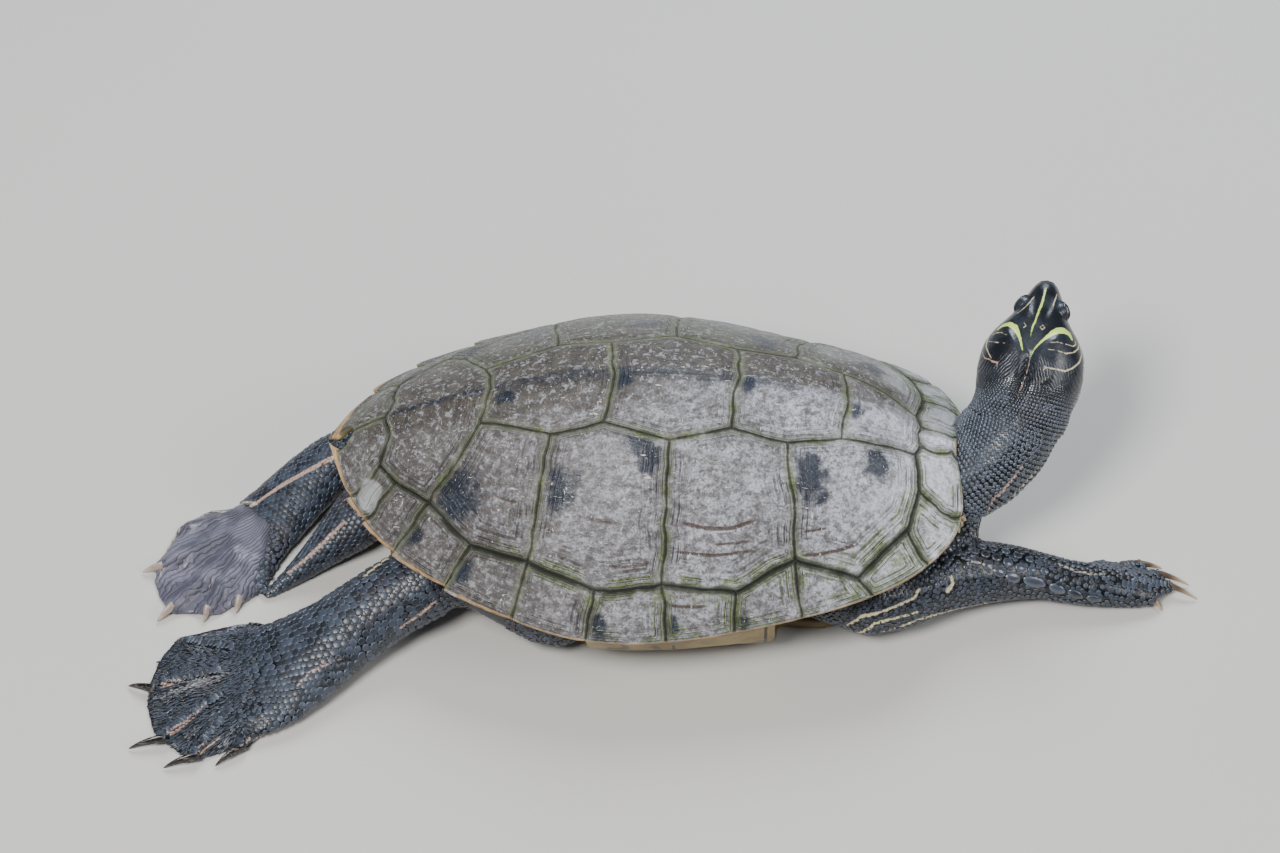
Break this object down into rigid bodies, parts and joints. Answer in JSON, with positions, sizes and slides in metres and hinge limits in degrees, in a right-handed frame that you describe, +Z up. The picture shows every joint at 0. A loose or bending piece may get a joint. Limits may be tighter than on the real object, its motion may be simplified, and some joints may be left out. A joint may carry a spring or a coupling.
{
  "type": "map turtle",
  "caption": "Life-size still model of a map turtle lying flat, with a keeled shell, head raised and turned, and hind legs stretched back.",
  "frame": {"origin": "on the ground under the middle of the shell, on the flat underside of the middle plastron", "axes": "+X to the front of the shell, +Y to the turtle's left, +Z up"},
  "size_m": [0.3795, 0.1876, 0.0901],
  "materials": {
    "carapace": "dry horn plates, satin",
    "plastron": "dull yellow horn with dark smudges",
    "skin": "slate-blue scaly skin with pale stripes, slightly glossy",
    "eye": "wet, glossy"
  },
  "bodies": {
    "root": {"nuchal": "carapace", "vertebral_1": "carapace", "vertebral_2": "carapace", "vertebral_3": "carapace", "vertebral_4": "carapace", "vertebral_5": "carapace", "costal_left_1": "carapace", "costal_left_2": "carapace", "costal_left_3": "carapace", "costal_left_4": "carapace", "costal_right_1": "carapace", "costal_right_2": "carapace", "costal_right_3": "carapace", "costal_right_4": "carapace", "marginal_left_1": "carapace", "marginal_left_2": "carapace", "marginal_left_3": "carapace", "marginal_left_4": "carapace", "marginal_left_5": "carapace", "marginal_left_6": "carapace", "marginal_left_7": "carapace", "marginal_left_8": "carapace", "marginal_left_9": "carapace", "marginal_left_10": "carapace", "marginal_left_11": "carapace", "marginal_left_12": "carapace", "marginal_right_1": "carapace", "marginal_right_2": "carapace", "marginal_right_3": "carapace", "marginal_right_4": "carapace", "marginal_right_5": "carapace", "marginal_right_6": "carapace", "marginal_right_7": "carapace", "marginal_right_8": "carapace", "marginal_right_9": "carapace", "marginal_right_10": "carapace", "marginal_right_11": "carapace", "marginal_right_12": "carapace", "marginal_right_13": "carapace", "plastron_front": "plastron", "plastron_middle": "plastron", "plastron_rear": "plastron", "trunk": "skin", "head": "skin", "neck": "skin", "foreleg_right": "skin", "forefoot_right": "skin", "foreleg_left": "skin", "forefoot_left": "skin", "hindleg_right": "skin", "hindfoot_right": "skin", "hindleg_left": "skin", "hindfoot_left": "skin", "tail": "skin", "lower_jaw": "skin", "eye_left": "eye", "eye_right": "eye"}
  },
  "joints": []
}
